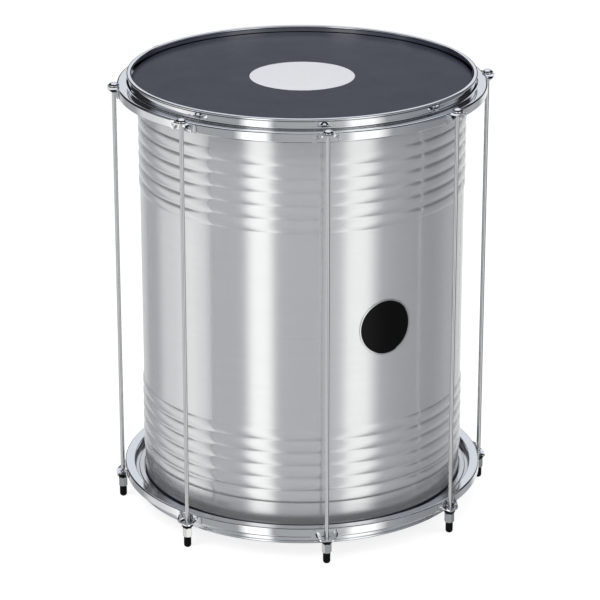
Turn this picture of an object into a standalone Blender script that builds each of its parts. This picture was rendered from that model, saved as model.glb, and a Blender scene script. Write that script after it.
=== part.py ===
"""Surdo: a deep metal drum with two film heads, held by eight long tension rods.

Units are metres and +Z is up. The drum stands on the rubber feet at the lower ends of its rods,
and the origin is on the drum's axis, level with the tips of those feet. The badge faces -Y.
A depth is measured from a rim towards the middle of the drum, so one set of depths serves both ends.
"""
from math import cos, pi, radians, sin, tan

import bmesh
import bpy
from mathutils import Vector

# Overall sizes
SHELL_DIAMETER = 0.457
SHELL_WALL = 0.0015
HEAD_SPACING = 0.594
HEAD_RECESS = 0.0095
FOOT_REACH = 0.0213
ROD_COUNT = 8
FACETS_PER_ROD = 6

# Clearance between two pieces that touch on the real drum
FIT = 0.0003

# Rolled ridges of the shell, one group at each end
RIDGE_COUNT = 6
FIRST_RIDGE_DEPTH = 0.062
RIDGE_PITCH = 0.0188
RIDGE_GROOVE = 0.0010
RIDGE_CREST_WIDTH = 0.0082
RIDGE_HEIGHT = 0.0018

# Film head: its film, and the collar between the shell and the flesh hoop
FILM_THICKNESS = 0.0006
COLLAR_THICKNESS = 0.0008
COLLAR_LENGTH = 0.0114

# Flesh hoop: a standing band with a foot that the counterhoop presses on
FLESH_BAND = 0.0080
FLESH_FOOT_THICKNESS = 0.0022

# Counterhoop, roll-formed from sheet
HOOP_SHEET = 0.0020
HOOP_PLAY = 0.0026
BEAD_OVERHANG = 0.0025
BEAD_PROUD = 0.0015
BEAD_HEIGHT = 0.0034
BEAD_ROUND = 0.0012
FLANGE_DEPTH = 0.0148
FLANGE_WIDTH = 0.0160
FLANGE_FILLET = 0.0030
FLANGE_CORNER = 0.0024
SKIRT_HEIGHT = 0.0142
SKIRT_HEM = 0.0020
LIP_WIDTH = 0.0140
LIP_RISE = 0.0030
LIP_FOLD = 0.0028

# Claw: a strap bent to a round U that carries the rod, with two feet on the hoop's skirt
CLAW_SHEET = 0.0020
CLAW_SEAT_ABOVE_FLANGE = 0.0005
CLAW_SEAT_WIDTH = 0.0104
CLAW_SEAT_EDGE = 0.0060
CLAW_BEND = 0.0110
CLAW_BEND_ANGLE = radians(78)
CLAW_BEND_STEPS = 4
CLAW_TAIL = 0.0035
CLAW_WALL_END = 0.0032
CLAW_FOOT_WIDTH = 0.0070
CLAW_FOOT_START = 0.0013
CLAW_FOOT_LAP = 0.0013
CLAW_FOOT_CORNER = 0.0022

# Tension rod with a domed head
ROD_DIAMETER = 0.0060
ROD_TO_SKIRT = 0.0015
ROD_HEAD_DIAMETER = 0.0155
ROD_HEAD_HEIGHT = 0.0050
ROD_HEAD_RIM = 0.0012
ROD_HEAD_CHAMFER = 0.0004
ROD_IN_FOOT = 0.0070
ROD_SIDES = 12

# Collar washer, hexagon nut and rubber foot under each lower claw
BORE_PLAY = 0.0004
WASHER_DIAMETER = 0.0163
WASHER_END_DIAMETER = 0.0128
WASHER_HEIGHT = 0.0047
WASHER_STRAIGHT = 0.0020
NUT_ACROSS_FLATS = 0.0120
NUT_LENGTH = 0.0146
NUT_CHAMFER = 0.0011
NUT_TOP_DIAMETER = 0.0115
NUT_END_DIAMETER = 0.0106
FOOT_DIAMETER = 0.0104
FOOT_BORE_SPARE = 0.0020
FOOT_FLAT_DIAMETER = 0.0040
FOOT_ROUNDING = 0.0040

# Badge: a thin round plate on the shell, half-way up
BADGE_DIAMETER = 0.080
BADGE_THICKNESS = 0.0010
BADGE_DROP = 0.0020
BADGE_SIDES = 24
BADGE_RINGS = 4

# Heights that follow from the sizes above
BOTTOM_RIM = FOOT_REACH
TOP_RIM = BOTTOM_RIM + HEAD_SPACING + 2 * HEAD_RECESS
MIDDLE = (BOTTOM_RIM + TOP_RIM) / 2
SHELL_END_DEPTH = HEAD_RECESS + FILM_THICKNESS + FIT
SKIRT_END_DEPTH = FLANGE_DEPTH + SKIRT_HEIGHT
FLESH_FOOT_DEPTH = FLANGE_DEPTH + HOOP_SHEET + FIT
SEAT_DEPTH = FLANGE_DEPTH - CLAW_SEAT_ABOVE_FLANGE
CLAW_DEPTH = CLAW_BEND * (1 - cos(CLAW_BEND_ANGLE)) + CLAW_TAIL
WASHER_TOP = SEAT_DEPTH - FIT
WASHER_BOTTOM = WASHER_TOP - WASHER_HEIGHT
NUT_TOP = WASHER_BOTTOM - FIT
NUT_BOTTOM = NUT_TOP - NUT_LENGTH
FOOT_TOP = NUT_BOTTOM - FIT
ROD_END = FOOT_TOP - ROD_IN_FOOT

# Radii that follow, from the shell outwards
SHELL_RADIUS = SHELL_DIAMETER / 2
COLLAR_INNER = SHELL_RADIUS + FIT
COLLAR_OUTER = COLLAR_INNER + COLLAR_THICKNESS
FLESH_INNER = COLLAR_OUTER + FIT
FLESH_OUTER = FLESH_INNER + FLESH_BAND
WALL_INNER = FLESH_OUTER + HOOP_PLAY
WALL_OUTER = WALL_INNER + HOOP_SHEET
SKIRT_OUTER = WALL_OUTER + FLANGE_WIDTH
LIP_INNER = SKIRT_OUTER - LIP_WIDTH
ROD_RADIUS = ROD_DIAMETER / 2
ROD_CIRCLE = SKIRT_OUTER + ROD_TO_SKIRT + ROD_RADIUS
BORE_RADIUS = ROD_RADIUS + BORE_PLAY
HOOP_SIDES = ROD_COUNT * FACETS_PER_ROD
HALF_FACET = pi / HOOP_SIDES

CHROME = ((0.80, 0.81, 0.83), 0.08, 1.0)
BRUSHED = ((0.62, 0.62, 0.62), 0.32, 1.0)
PLATED = ((0.66, 0.65, 0.62), 0.25, 1.0)
FILM_BLACK = ((0.035, 0.036, 0.042), 0.45, 0.0)
RUBBER_BLACK = ((0.012, 0.012, 0.012), 0.65, 0.0)


def clear_scene():
    for old in list(bpy.data.objects):
        bpy.data.objects.remove(old, do_unlink=True)


def finish_material(name, look):
    """A plain surface with a colour, a roughness and a metallic value."""
    colour, roughness, metallic = look
    material = bpy.data.materials.new(name)
    material.use_nodes = True
    shader = material.node_tree.nodes["Principled BSDF"]
    shader.inputs["Base Color"].default_value = (*colour, 1.0)
    shader.inputs["Roughness"].default_value = roughness
    shader.inputs["Metallic"].default_value = metallic
    return material


def smooth(mesh):
    """Round surfaces shade smooth, and edges over 35 degrees stay sharp."""
    mesh.shade_smooth()
    mesh.set_sharp_from_angle(angle=radians(35))
    return mesh


def mesh_from(bm, name):
    bmesh.ops.recalc_face_normals(bm, faces=bm.faces)
    mesh = bpy.data.meshes.new(name)
    bm.to_mesh(mesh)
    bm.free()
    return smooth(mesh)


def place(name, mesh, look, parent=None, location=(0, 0, 0), rotation=(0, 0, 0)):
    """One named object, with a material of its own."""
    piece = bpy.data.objects.new(name, mesh)
    bpy.context.scene.collection.objects.link(piece)
    piece.parent = parent
    piece.location = location
    piece.rotation_euler = rotation
    if not mesh.materials:
        mesh.materials.append(None)
    piece.material_slots[0].link = 'OBJECT'
    piece.material_slots[0].material = finish_material(name, look)
    return piece


def turned_mesh(name, profile, sides, closed=True):
    """Spin a profile of (radius, height) points about Z. An open profile starts and ends on the axis."""
    bm = bmesh.new()
    points = [bm.verts.new((radius, 0, height)) for radius, height in profile]
    edges = [bm.edges.new(pair) for pair in zip(points, points[1:])]
    if closed:
        edges.append(bm.edges.new((points[-1], points[0])))
    bmesh.ops.spin(bm, geom=points + edges, cent=(0, 0, 0), axis=(0, 0, 1), angle=2 * pi, steps=sides,
                   use_merge=True)
    bmesh.ops.remove_doubles(bm, verts=bm.verts, dist=1e-6)
    return mesh_from(bm, name)


def arc(centre, radius, start, end, steps):
    """Points on a round corner, from one angle in degrees to another."""
    points = []
    for step in range(steps + 1):
        turn = radians(start + (end - start) * step / steps)
        points.append((centre[0] + radius * cos(turn), centre[1] + radius * sin(turn)))
    return points


def at_depth(end, profile):
    """Turn (radius, depth) points of the top end, +1, or the bottom end, -1, into heights."""
    rim = TOP_RIM if end > 0 else BOTTOM_RIM
    return [(radius, rim - end * depth) for radius, depth in profile]


# Shell
def ridge_profile():
    """The four points of each ridge at the top end, as (radius, depth), from the rim down."""
    crest = SHELL_RADIUS + RIDGE_HEIGHT
    half_width = (RIDGE_PITCH - RIDGE_GROOVE) / 2
    half_crest = RIDGE_CREST_WIDTH / 2
    points = []
    for index in range(RIDGE_COUNT):
        depth = FIRST_RIDGE_DEPTH + index * RIDGE_PITCH
        points.append((SHELL_RADIUS, depth - half_width))
        points.append((crest, depth - half_crest))
        points.append((crest, depth + half_crest))
        points.append((SHELL_RADIUS, depth + half_width))
    return points


def build_shell():
    inner = SHELL_RADIUS - SHELL_WALL
    top = at_depth(1, [(inner, SHELL_END_DEPTH), (SHELL_RADIUS, SHELL_END_DEPTH)] + ridge_profile())
    bottom = at_depth(-1, [(inner, SHELL_END_DEPTH), (SHELL_RADIUS, SHELL_END_DEPTH)] + ridge_profile())
    profile = top + bottom[::-1]
    return place("shell", turned_mesh("shell", profile, HOOP_SIDES), BRUSHED)


# Badge
def build_badge():
    """A disc rolled to the shell's radius, its back a fit's clearance off the metal."""
    back = SHELL_RADIUS + FIT
    radius = BADGE_DIAMETER / 2
    bm = bmesh.new()
    bmesh.ops.create_circle(bm, cap_ends=True, cap_tris=True, segments=BADGE_SIDES, radius=radius)
    spokes = [edge for edge in bm.edges if not edge.is_boundary]
    bmesh.ops.subdivide_edges(bm, edges=spokes, cuts=BADGE_RINGS - 1, use_grid_fill=True)
    solid = bmesh.ops.extrude_face_region(bm, geom=bm.faces[:])
    for item in solid["geom"]:
        if isinstance(item, bmesh.types.BMVert):
            item.co.z = BADGE_THICKNESS
    for vert in bm.verts:
        angle = vert.co.x / back
        reach = back + vert.co.z
        vert.co = Vector((reach * sin(angle), -reach * cos(angle), vert.co.y))
    return place("badge", mesh_from(bm, "badge"), FILM_BLACK, location=(0, 0, MIDDLE - BADGE_DROP))


# Heads and hoops, the same at both ends
def build_head(name, end):
    underside = HEAD_RECESS + FILM_THICKNESS
    collar_end = underside + COLLAR_LENGTH
    profile = [
        (0, HEAD_RECESS), (FLESH_OUTER, HEAD_RECESS), (FLESH_OUTER, underside),
        (COLLAR_OUTER, underside), (COLLAR_OUTER, collar_end), (COLLAR_INNER, collar_end),
        (COLLAR_INNER, underside), (0, underside)]
    return place(name, turned_mesh(name, at_depth(end, profile), HOOP_SIDES, closed=False), FILM_BLACK)


def build_flesh_hoop(name, end):
    band_start = HEAD_RECESS + FILM_THICKNESS + FIT
    foot_end = FLESH_FOOT_DEPTH + FLESH_FOOT_THICKNESS
    profile = [
        (FLESH_INNER, band_start), (FLESH_OUTER, band_start), (FLESH_OUTER, FLESH_FOOT_DEPTH),
        (WALL_OUTER, FLESH_FOOT_DEPTH), (WALL_OUTER, foot_end), (FLESH_INNER, foot_end)]
    return place(name, turned_mesh(name, at_depth(end, profile), HOOP_SIDES), PLATED)


def build_hoop(name, end):
    """Rolled bead, wall, flange, skirt and turned-in lip, as one closed section."""
    bead_inner = WALL_INNER - BEAD_OVERHANG
    bead_outer = WALL_OUTER + BEAD_PROUD
    fillet = (WALL_OUTER + FLANGE_FILLET, FLANGE_DEPTH - FLANGE_FILLET)
    corner = (SKIRT_OUTER - FLANGE_CORNER, FLANGE_DEPTH + FLANGE_CORNER)
    hem = (SKIRT_OUTER - SKIRT_HEM, SKIRT_END_DEPTH - SKIRT_HEM)
    lip_end = SKIRT_END_DEPTH - LIP_RISE
    lip_back = SKIRT_END_DEPTH - HOOP_SHEET
    skirt_inner = SKIRT_OUTER - HOOP_SHEET
    flange_back = FLANGE_DEPTH + HOOP_SHEET
    profile = [(bead_inner + BEAD_ROUND, 0), (bead_outer - BEAD_ROUND, 0), (bead_outer, BEAD_ROUND),
               (WALL_OUTER, BEAD_HEIGHT)]
    profile += arc(fillet, FLANGE_FILLET, 180, 90, 2)
    profile += arc(corner, FLANGE_CORNER, -90, 0, 3)
    profile += arc(hem, SKIRT_HEM, 0, 90, 2)
    profile += [(LIP_INNER + HOOP_SHEET / 2, SKIRT_END_DEPTH), (LIP_INNER, lip_end),
                (LIP_INNER + HOOP_SHEET, lip_end), (LIP_INNER + LIP_FOLD, lip_back)]
    profile += [(skirt_inner, lip_back), (skirt_inner, flange_back), (WALL_INNER, flange_back)]
    profile += [(WALL_INNER, BEAD_HEIGHT), (bead_inner, BEAD_ROUND)]
    return place(name, turned_mesh(name, at_depth(end, profile), HOOP_SIDES), CHROME)


# Claw
def claw_back(offset):
    """Distance outwards from the rod's axis to the hoop's skirt, with the fit, at a sideways offset."""
    skirt = SKIRT_OUTER - abs(offset) * tan(HALF_FACET)
    return skirt + FIT - ROD_CIRCLE


def claw_side_line():
    """Half of the strap's outer face as (offset, depth): the seat's end, the round bend and the tail."""
    line = []
    for step in range(CLAW_BEND_STEPS + 1):
        turn = CLAW_BEND_ANGLE * step / CLAW_BEND_STEPS
        line.append((CLAW_SEAT_WIDTH / 2 + CLAW_BEND * sin(turn), SEAT_DEPTH + CLAW_BEND * (1 - cos(turn))))
    bend_end = line[-1]
    line.append((bend_end[0] + CLAW_TAIL / tan(CLAW_BEND_ANGLE), bend_end[1] + CLAW_TAIL))
    return line


def claw_strap(bm):
    """The strap's outer face, over the seat from one free end to the other. Its front draws back."""
    half_path = claw_side_line()
    bend_depth = half_path[-2][1] - SEAT_DEPTH
    path = [(-x, depth) for x, depth in half_path[::-1]] + half_path
    outer_edge = CLAW_SEAT_EDGE + ROD_RADIUS
    rows = []
    for x, depth in path:
        taper = min(1, (depth - SEAT_DEPTH) / bend_depth)
        reach = outer_edge + (CLAW_WALL_END + claw_back(x) - outer_edge) * taper
        inner = bm.verts.new((x, -claw_back(0), -depth))
        outer = bm.verts.new((x, -reach, -depth))
        rows.append((inner, outer))
    for (inner_a, outer_a), (inner_b, outer_b) in zip(rows, rows[1:]):
        bm.faces.new((inner_a, outer_a, outer_b, inner_b))


def claw_foot(bm, side):
    """The outer face of one foot, flat along the skirt, with its outer corners cut."""
    inner = claw_side_line()[-1][0] - CLAW_SHEET
    tip = inner + CLAW_FOOT_WIDTH
    start = SEAT_DEPTH + CLAW_FOOT_START
    end = SEAT_DEPTH + CLAW_DEPTH + CLAW_FOOT_LAP
    cut = CLAW_FOOT_CORNER
    outline = [(inner, start), (tip - cut, start), (tip, start + cut), (tip, end - cut), (tip - cut, end),
               (inner, end)]
    points = []
    for x, depth in outline:
        reach = claw_back(x) + CLAW_SHEET
        points.append(bm.verts.new((side * x, -reach, -depth)))
    bm.faces.new(points[::-side])


def sheet_object(name, fill):
    """An outer face made solid: its normals point outwards, and the sheet's thickness lies behind it."""
    bm = bmesh.new()
    fill(bm)
    mesh = bpy.data.meshes.new(name)
    bm.to_mesh(mesh)
    bm.free()
    sheet = bpy.data.objects.new(name, mesh)
    bpy.context.scene.collection.objects.link(sheet)
    solidify = sheet.modifiers.new("sheet", 'SOLIDIFY')
    solidify.thickness = CLAW_SHEET
    solidify.offset = -1
    solidify.use_even_offset = True
    return sheet


def rod_hole_cutter():
    bm = bmesh.new()
    bmesh.ops.create_cone(bm, cap_ends=True, segments=ROD_SIDES, radius1=BORE_RADIUS, radius2=BORE_RADIUS,
                          depth=CLAW_DEPTH)
    bmesh.ops.translate(bm, verts=bm.verts, vec=(0, 0, -SEAT_DEPTH))
    cutter = bpy.data.objects.new("rod_hole", mesh_from(bm, "rod_hole"))
    bpy.context.scene.collection.objects.link(cutter)
    return cutter


def add_boolean(piece, operation, other):
    modifier = piece.modifiers.new(other.name, 'BOOLEAN')
    modifier.operation = operation
    modifier.solver = 'EXACT'
    modifier.object = other


def claw_mesh():
    """The strap joined to its two feet and bored for the rod, as one mesh that all claws share."""
    strap = sheet_object("strap", claw_strap)
    helpers = [strap]
    for side in (-1, 1):
        foot = sheet_object("strap_foot", lambda bm: claw_foot(bm, side))
        add_boolean(strap, 'UNION', foot)
        helpers.append(foot)
    cutter = rod_hole_cutter()
    add_boolean(strap, 'DIFFERENCE', cutter)
    helpers.append(cutter)
    graph = bpy.context.evaluated_depsgraph_get()
    mesh = bpy.data.meshes.new_from_object(strap.evaluated_get(graph))
    mesh.name = "claw"
    mesh.materials.clear()
    for helper in helpers:
        bpy.data.objects.remove(helper, do_unlink=True)
    return smooth(mesh)


# Rod, washer, nut and foot, each turned or lofted about the rod's axis
def rod_mesh():
    """Domed head on the top claw and a long shank down into the foot."""
    head_base = TOP_RIM - SEAT_DEPTH + FIT
    head_radius = ROD_HEAD_DIAMETER / 2
    end = BOTTOM_RIM + ROD_END
    dome = [(0, head_base + ROD_HEAD_HEIGHT)]
    for angle in (30, 60, 90):
        turn = radians(angle)
        rise = ROD_HEAD_RIM + (ROD_HEAD_HEIGHT - ROD_HEAD_RIM) * cos(turn)
        dome.append((head_radius * sin(turn), head_base + rise))
    profile = dome + [(head_radius - ROD_HEAD_CHAMFER, head_base), (ROD_RADIUS, head_base),
                      (ROD_RADIUS, end + ROD_RADIUS / 3), (ROD_RADIUS * 2 / 3, end), (0, end)]
    return turned_mesh("rod", profile, ROD_SIDES, closed=False)


def washer_mesh():
    outer = WASHER_DIAMETER / 2
    profile = [(BORE_RADIUS, WASHER_TOP), (outer, WASHER_TOP), (outer, WASHER_TOP - WASHER_STRAIGHT),
               (WASHER_END_DIAMETER / 2, WASHER_BOTTOM), (BORE_RADIUS, WASHER_BOTTOM)]
    return turned_mesh("washer", profile, ROD_SIDES)


def nut_ring(bm, height, corner_radius, flat_radius):
    """Twelve points: the six corners of the hexagon and the middles of its flats."""
    ring = []
    for index in range(12):
        angle = index * pi / 6
        radius = flat_radius if index % 2 else corner_radius
        ring.append(bm.verts.new((radius * cos(angle), radius * sin(angle), height)))
    return ring


def nut_mesh():
    """Long hexagon nut, chamfered at both ends and bored right through."""
    flat = NUT_ACROSS_FLATS / 2
    corner = flat / cos(pi / 6)
    start = NUT_TOP_DIAMETER / 2
    end = NUT_END_DIAMETER / 2
    bm = bmesh.new()
    rings = [
        nut_ring(bm, NUT_TOP, start, start),
        nut_ring(bm, NUT_TOP - NUT_CHAMFER / 2, corner, flat),
        nut_ring(bm, NUT_BOTTOM + NUT_CHAMFER, corner, flat),
        nut_ring(bm, NUT_BOTTOM, end, end),
        nut_ring(bm, NUT_BOTTOM, BORE_RADIUS, BORE_RADIUS),
        nut_ring(bm, NUT_TOP, BORE_RADIUS, BORE_RADIUS)]
    for ring, after in zip(rings, rings[1:] + rings[:1]):
        for index in range(12):
            follow = (index + 1) % 12
            bm.faces.new((ring[index], ring[follow], after[follow], after[index]))
    return mesh_from(bm, "nut")


def foot_mesh():
    """Rubber cup over the rod's end, round below with a small flat that stands on the floor."""
    radius = FOOT_DIAMETER / 2
    tip = -FOOT_REACH
    flat = FOOT_FLAT_DIAMETER / 2
    bore_end = ROD_END - FOOT_BORE_SPARE
    profile = [(0, bore_end), (BORE_RADIUS, bore_end), (BORE_RADIUS, FOOT_TOP), (radius, FOOT_TOP)]
    for angle in (0, 35, 65):
        turn = radians(angle)
        reach = flat + (radius - flat) * cos(turn)
        profile.append((reach, tip + FOOT_ROUNDING * (1 - sin(turn))))
    profile += [(flat, tip), (0, tip)]
    return turned_mesh("foot", profile, ROD_SIDES, closed=False)


def build_stations():
    """At each rod's axis an empty carries the rod, its two claws, and the washer, nut and foot."""
    claw = claw_mesh()
    rod = rod_mesh()
    washer = washer_mesh()
    nut = nut_mesh()
    foot = foot_mesh()
    for index in range(ROD_COUNT):
        angle = 2 * pi * (index + 0.5) / ROD_COUNT
        number = index + 1
        station = bpy.data.objects.new(f"station_{number}", None)
        bpy.context.scene.collection.objects.link(station)
        station.location = (ROD_CIRCLE * sin(angle), -ROD_CIRCLE * cos(angle), 0)
        station.rotation_euler = (0, 0, angle)
        low = (0, 0, BOTTOM_RIM)
        place(f"rod_{number}", rod, PLATED, station)
        place(f"top_claw_{number}", claw, CHROME, station, (0, 0, TOP_RIM))
        place(f"bottom_claw_{number}", claw, CHROME, station, low, (0, pi, 0))
        place(f"washer_{number}", washer, RUBBER_BLACK, station, low)
        place(f"nut_{number}", nut, PLATED, station, low)
        place(f"foot_{number}", foot, RUBBER_BLACK, station, low)


def main():
    clear_scene()
    build_shell()
    build_badge()
    for name, end in (("top", 1), ("bottom", -1)):
        build_head(f"{name}_head", end)
        build_flesh_hoop(f"{name}_flesh_hoop", end)
        build_hoop(f"{name}_hoop", end)
    build_stations()


main()
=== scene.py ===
"""Surdo drum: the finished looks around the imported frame.

The drum's axis is the Z axis and the badge faces -Y. Angles round the drum are measured from -Y
towards +X. A depth is measured from a rim towards the drum's middle, as the two ends are alike.
"""
from math import atan2, cos, hypot, pi, radians, sin, tan

import bmesh
import bpy
from bpy.props import FloatProperty, FloatVectorProperty, IntProperty, PointerProperty
from mathutils import Matrix, Vector


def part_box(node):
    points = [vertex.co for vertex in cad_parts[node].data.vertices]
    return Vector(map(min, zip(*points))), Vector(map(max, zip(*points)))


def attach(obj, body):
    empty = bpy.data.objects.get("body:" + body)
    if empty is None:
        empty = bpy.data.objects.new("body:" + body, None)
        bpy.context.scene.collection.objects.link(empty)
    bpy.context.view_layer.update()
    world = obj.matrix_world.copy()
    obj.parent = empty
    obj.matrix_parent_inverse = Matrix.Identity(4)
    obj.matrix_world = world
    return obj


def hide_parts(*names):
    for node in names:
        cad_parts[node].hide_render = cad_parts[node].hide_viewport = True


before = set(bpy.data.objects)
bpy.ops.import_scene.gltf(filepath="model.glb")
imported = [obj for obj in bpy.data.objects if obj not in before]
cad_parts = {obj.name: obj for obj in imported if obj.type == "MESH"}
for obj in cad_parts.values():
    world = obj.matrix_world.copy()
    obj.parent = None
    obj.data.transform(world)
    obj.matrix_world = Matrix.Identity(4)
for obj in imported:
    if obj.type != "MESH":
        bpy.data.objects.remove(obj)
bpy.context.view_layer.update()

bl_info = {
    "name": "Surdo drum",
    "version": (1, 0, 0),
    "blender": (4, 5, 0),
    "location": "3D View > Sidebar > Surdo",
    "description": "Builds the finished surface of a surdo drum around its solid frame",
    "category": "Object",
}

MM = 0.001

# Heights and radii that the frame gives
TOP_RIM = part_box("top_hoop")[1][2]
BOTTOM_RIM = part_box("bottom_hoop")[0][2]
SKIRT_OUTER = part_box("top_hoop")[1][0]
FLESH_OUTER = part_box("top_head")[1][0]
FLESH_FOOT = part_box("top_flesh_hoop")[1][0]
HEAD_DEPTH = TOP_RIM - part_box("top_head")[1][2]
SHELL_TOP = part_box("shell")[1][2]
SHELL_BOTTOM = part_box("shell")[0][2]
RIDGE_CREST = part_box("shell")[1][0]
BADGE_LOW, BADGE_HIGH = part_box("badge")
ROD_COUNT = 8


def box_middle(node):
    low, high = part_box(node)
    return (Vector(low) + Vector(high)) / 2


ROD_CIRCLE = hypot(*box_middle("rod_1").xy)
HALF_STEP = pi / ROD_COUNT


def linear(code):
    """An sRGB hex code as a linear colour."""
    parts = [int(code[index:index + 2], 16) / 255 for index in (1, 3, 5)]
    return tuple(part / 12.92 if part <= 0.04045 else ((part + 0.055) / 1.055) ** 2.4 for part in parts)


# Settings that a user would change
class ShellSettings(bpy.types.PropertyGroup):
    ridge_height: FloatProperty(
        name="Ridge height", description="How far a rolled ridge stands off the shell",
        default=1.8 * MM, unit='LENGTH')
    ridge_width: FloatProperty(
        name="Ridge width", description="Width of a rolled ridge along the drum",
        default=18.2 * MM, unit='LENGTH')
    ridge_pitch: FloatProperty(
        name="Ridge pitch", description="Distance from one ridge to the next",
        default=18.8 * MM, unit='LENGTH')
    first_ridge: FloatProperty(
        name="First ridge", description="Depth of the first ridge below the rim",
        default=62 * MM, unit='LENGTH')
    ridge_count: IntProperty(
        name="Ridges", description="Number of ridges at each end", default=6, min=1)
    wall: FloatProperty(
        name="Wall", description="Thickness of the shell's sheet", default=1.5 * MM, unit='LENGTH')
    colour: FloatVectorProperty(
        name="Aluminium", description="Colour of the brushed aluminium",
        default=linear("#e9eaec"), size=3, subtype='COLOR')


class HeadSettings(bpy.types.PropertyGroup):
    film: FloatProperty(
        name="Film", description="Thickness of the head's film", default=0.6 * MM, unit='LENGTH')
    collar: FloatProperty(
        name="Collar", description="How far the film's collar reaches down the shell",
        default=11.4 * MM, unit='LENGTH')
    print_diameter: FloatProperty(
        name="Printed disc", description="Diameter of the plain printed disc",
        default=147 * MM, unit='LENGTH')
    film_colour: FloatVectorProperty(
        name="Film colour", description="Colour of the grained black film",
        default=linear("#222633"), size=3, subtype='COLOR')
    print_colour: FloatVectorProperty(
        name="Print colour", description="Colour of the plain printed disc",
        default=linear("#cbcccf"), size=3, subtype='COLOR')


class HoopSettings(bpy.types.PropertyGroup):
    sheet: FloatProperty(
        name="Sheet", description="Thickness of the hoop's sheet", default=2 * MM, unit='LENGTH')
    flange_depth: FloatProperty(
        name="Flange depth", description="Depth of the flange below the rim",
        default=14.8 * MM, unit='LENGTH')
    flange_width: FloatProperty(
        name="Flange width", description="Width of the flange", default=16 * MM, unit='LENGTH')
    lip_width: FloatProperty(
        name="Lip", description="Width of the lip that the skirt ends in", default=14 * MM, unit='LENGTH')
    skirt_end: FloatProperty(
        name="Skirt end", description="Depth of the skirt's free end", default=29 * MM, unit='LENGTH')
    bead_height: FloatProperty(
        name="Bead height", description="Height of the rolled bead on the rim",
        default=4.0 * MM, unit='LENGTH')
    colour: FloatVectorProperty(
        name="Chrome", description="Colour of the chrome plating",
        default=linear("#eceef1"), size=3, subtype='COLOR')
    inside_colour: FloatVectorProperty(
        name="Nickel", description="Colour of the dull nickel inside the channel",
        default=linear("#d3d4d6"), size=3, subtype='COLOR')


class HardwareSettings(bpy.types.PropertyGroup):
    rod_diameter: FloatProperty(
        name="Rod", description="Diameter of a tension rod", default=6 * MM, unit='LENGTH')
    claw_sheet: FloatProperty(
        name="Claw sheet", description="Thickness of a claw's sheet", default=2 * MM, unit='LENGTH')
    nut_flats: FloatProperty(
        name="Nut", description="Width of a nut across its flats", default=12 * MM, unit='LENGTH')
    plated_colour: FloatVectorProperty(
        name="Plated steel", description="Colour of the plated rods and nuts",
        default=linear("#d8d9da"), size=3, subtype='COLOR')
    black_colour: FloatVectorProperty(
        name="Black", description="Colour of the nylon washers and the rubber feet",
        default=linear("#050506"), size=3, subtype='COLOR')


class BadgeSettings(bpy.types.PropertyGroup):
    border: FloatProperty(
        name="Border", description="Width of the badge's silver border", default=1.8 * MM, unit='LENGTH')
    field_colour: FloatVectorProperty(
        name="Field", description="Colour of the badge's plain field",
        default=linear("#050506"), size=3, subtype='COLOR')


class StudioSettings(bpy.types.PropertyGroup):
    camera_distance: FloatProperty(
        name="Camera distance", description="From the camera to the point it looks at",
        default=4.0, unit='LENGTH')
    camera_azimuth: FloatProperty(
        name="Camera azimuth", description="Angle of the camera round the drum, from the badge",
        default=radians(-29.9), subtype='ANGLE')
    camera_elevation: FloatProperty(
        name="Camera elevation", description="Angle of the camera above the floor",
        default=radians(20.3), subtype='ANGLE')
    aim_height: FloatProperty(
        name="Aim height", description="Height of the point the camera looks at",
        default=291.4 * MM, unit='LENGTH')
    aim_side: FloatProperty(
        name="Aim side", description="Sideways offset of the point the camera looks at",
        default=-3 * MM, unit='LENGTH')
    lens: FloatProperty(
        name="Lens", description="Focal length of the camera in millimetres", default=167.1)


# Modelling helpers
def start_clean():
    """Leave edit mode and deselect everything, so that an operator acts on its own piece only."""
    if bpy.context.object and bpy.context.object.mode != 'OBJECT':
        bpy.ops.object.mode_set(mode='OBJECT')
    bpy.ops.object.select_all(action='DESELECT')


def make_active(piece):
    start_clean()
    piece.select_set(True)
    bpy.context.view_layer.objects.active = piece


def settle(piece):
    """Move a piece's place into its mesh and leave the object at the origin."""
    make_active(piece)
    bpy.ops.object.transform_apply(location=True, rotation=True, scale=True)


def apply_modifiers(piece):
    make_active(piece)
    for modifier in list(piece.modifiers):
        bpy.ops.object.modifier_apply(modifier=modifier.name)


def select_ring(piece, count):
    """Select the first vertices made, the ring that a turned piece starts from."""
    mesh = bmesh.from_edit_mesh(piece.data)
    mesh.verts.ensure_lookup_table()
    bpy.ops.mesh.select_all(action='DESELECT')
    for vert in mesh.verts[:count]:
        vert.select = True
    mesh.select_flush(True)
    bmesh.update_edit_mesh(piece.data)


def extrude_ring(old, new, centre):
    """Extrude the selected ring from one (radius, height) to the next."""
    bpy.ops.mesh.extrude_edges_move(TRANSFORM_OT_translate={"value": (0, 0, new[1] - old[1])})
    if new[0] == 0:
        bpy.ops.mesh.merge(type='CENTER')
    elif new[0] != old[0]:
        factor = new[0] / old[0]
        bpy.ops.transform.resize(value=(factor, factor, 1), center_override=(*centre, new[1]))


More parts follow.
